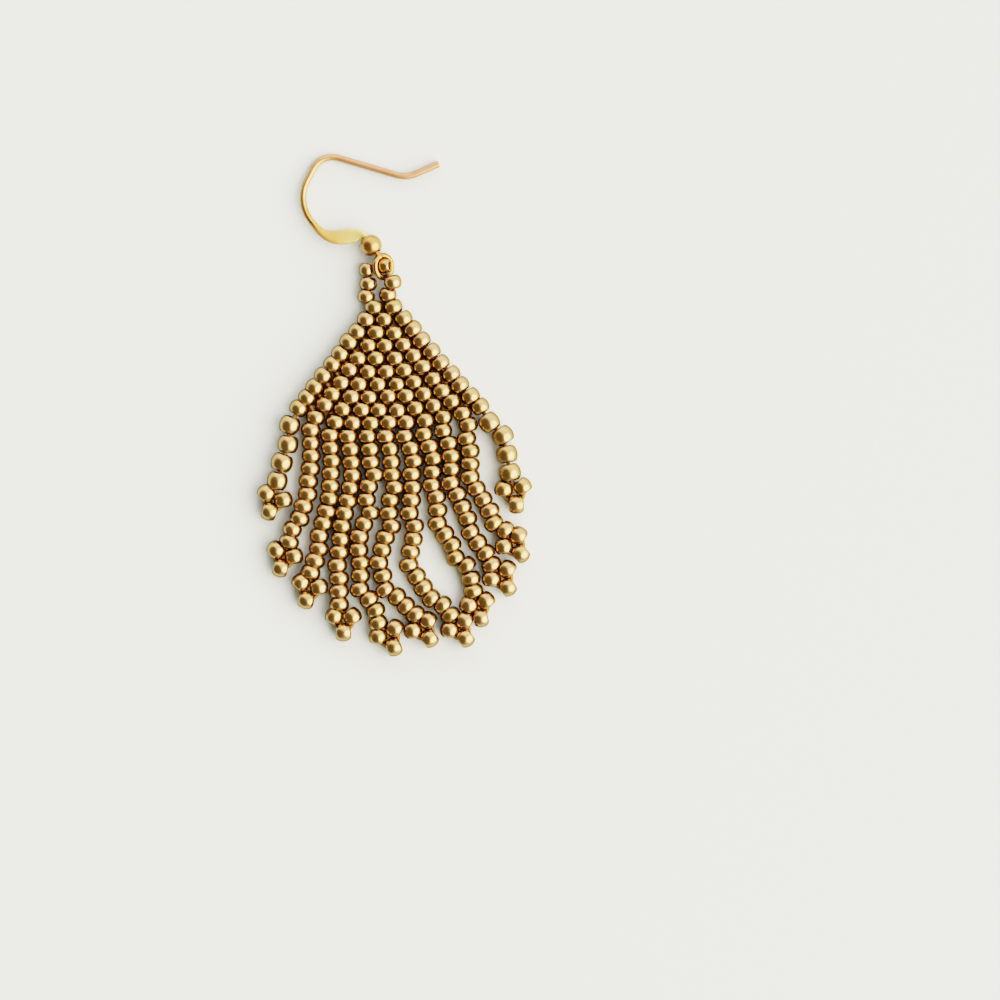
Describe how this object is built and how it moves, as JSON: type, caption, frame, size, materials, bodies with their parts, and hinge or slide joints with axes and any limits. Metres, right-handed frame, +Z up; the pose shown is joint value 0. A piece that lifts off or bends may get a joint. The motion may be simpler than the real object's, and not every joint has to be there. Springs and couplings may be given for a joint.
{
  "type": "beaded fringe earring",
  "caption": "Long drop earring of gold seed beads: a stepped beaded panel with a loose bead fringe below it, hung by a bead loop from a wire ear hook with a ball.",
  "frame": {"origin": "on the surface the earring lies on, in the middle of its outline", "axes": "+Z up from the surface, +Y from the fringe to the ear hook, +X to the right as seen from above"},
  "size_m": [0.0338, 0.0608, 0.0026],
  "materials": {
    "gold_beads": "opaque metallic gold coating on glass",
    "gold_wire": "satin gold plating",
    "thread": "waxed beading thread"
  },
  "bodies": {
    "root": {"ear_hook": "gold_wire", "hook_ball": "gold_wire", "hanging_loop": "gold_beads", "bead_panel": "gold_beads", "fringe_01": "gold_beads", "fringe_02": "gold_beads", "fringe_03": "gold_beads", "fringe_04": "gold_beads", "fringe_05": "gold_beads", "fringe_06": "gold_beads", "fringe_07": "gold_beads", "fringe_08": "gold_beads", "fringe_09": "gold_beads", "fringe_10": "gold_beads", "fringe_11": "gold_beads"}
  },
  "joints": []
}
